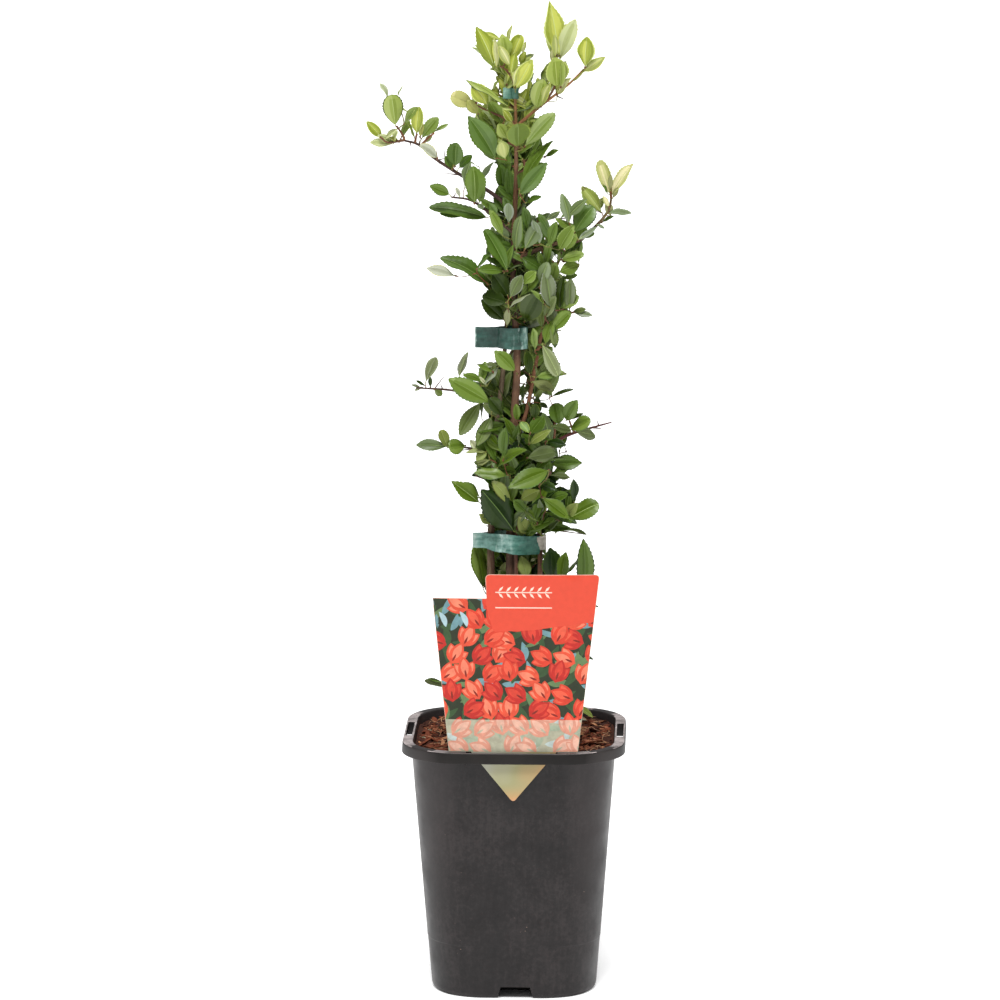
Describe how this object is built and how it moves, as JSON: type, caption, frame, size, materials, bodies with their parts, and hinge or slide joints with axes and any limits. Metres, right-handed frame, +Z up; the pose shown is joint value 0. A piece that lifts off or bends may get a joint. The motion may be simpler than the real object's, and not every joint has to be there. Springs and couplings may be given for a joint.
{
  "type": "potted firethorn shrub",
  "caption": "Young firethorn shrub trained as a narrow column, tied stems with small toothed evergreen leaves, in a square-round dark nursery pot with a plain picture tag.",
  "frame": {"origin": "centre of the pot's flat underside, on the ground", "axes": "+Z up along the main stem; -Y is the side of the pot with the tag; +X is to the right of somebody who faces the tag"},
  "size_m": [0.1792, 0.1522, 0.675],
  "materials": {
    "pot_plastic": "satin injection-moulded charcoal plastic",
    "compost": "coarse moist bark and peat",
    "tag_card": "glossy printed plastic tag, frosted at its foot",
    "tie_tape": "thin green tying tape",
    "stem_bark": "brown bark with pale pores",
    "young_bark": "smooth reddish young bark",
    "leaf_green": "glossy green leaves",
    "leaf_young": "glossy yellow-green young leaves"
  },
  "bodies": {
    "root": {"pot": "pot_plastic", "soil": "compost", "label": "tag_card", "tie_upper": "tie_tape", "tie_lower": "tie_tape", "tie_top": "tie_tape", "stem_main": "stem_bark", "stem_left": "stem_bark", "stem_right": "stem_bark", "stem_short": "stem_bark", "bough_upper_right": "young_bark", "bough_left_arm": "young_bark", "bough_left_second": "young_bark", "bough_right_arm": "young_bark", "bough_top_right": "young_bark", "bough_thorn_right": "young_bark", "bough_twig_left": "young_bark", "bough_twig_low_left": "young_bark", "bough_back_upper": "young_bark", "bough_back_lower": "young_bark", "foliage_top_left": "leaf_young", "foliage_top_mid": "leaf_young", "foliage_top_right": "leaf_young", "foliage_neck": "leaf_green", "foliage_back_top": "leaf_green", "foliage_arm_left_tip": "leaf_green", "foliage_arm_left_mid": "leaf_green", "foliage_arm_left_low": "leaf_green", "foliage_shoulder_left": "leaf_green", "foliage_core_upper": "leaf_green", "foliage_core_back": "leaf_green", "foliage_right_upper": "leaf_green", "foliage_arm_right_tip": "leaf_young", "foliage_mid_upper": "leaf_green", "foliage_mid_upper_back": "leaf_green", "foliage_mid_right": "leaf_green", "foliage_mid_left": "leaf_green", "foliage_mid_back": "leaf_green", "foliage_twig_left": "leaf_green", "foliage_low_right": "leaf_green", "foliage_twig_low_left": "leaf_green", "foliage_low_core": "leaf_green", "foliage_low_back": "leaf_green", "foliage_lower": "leaf_green", "foliage_base_left": "leaf_green", "foliage_base_right": "leaf_green", "foliage_base_back": "leaf_green", "foliage_foot_left": "leaf_green", "foliage_foot_right": "leaf_green"}
  },
  "joints": []
}
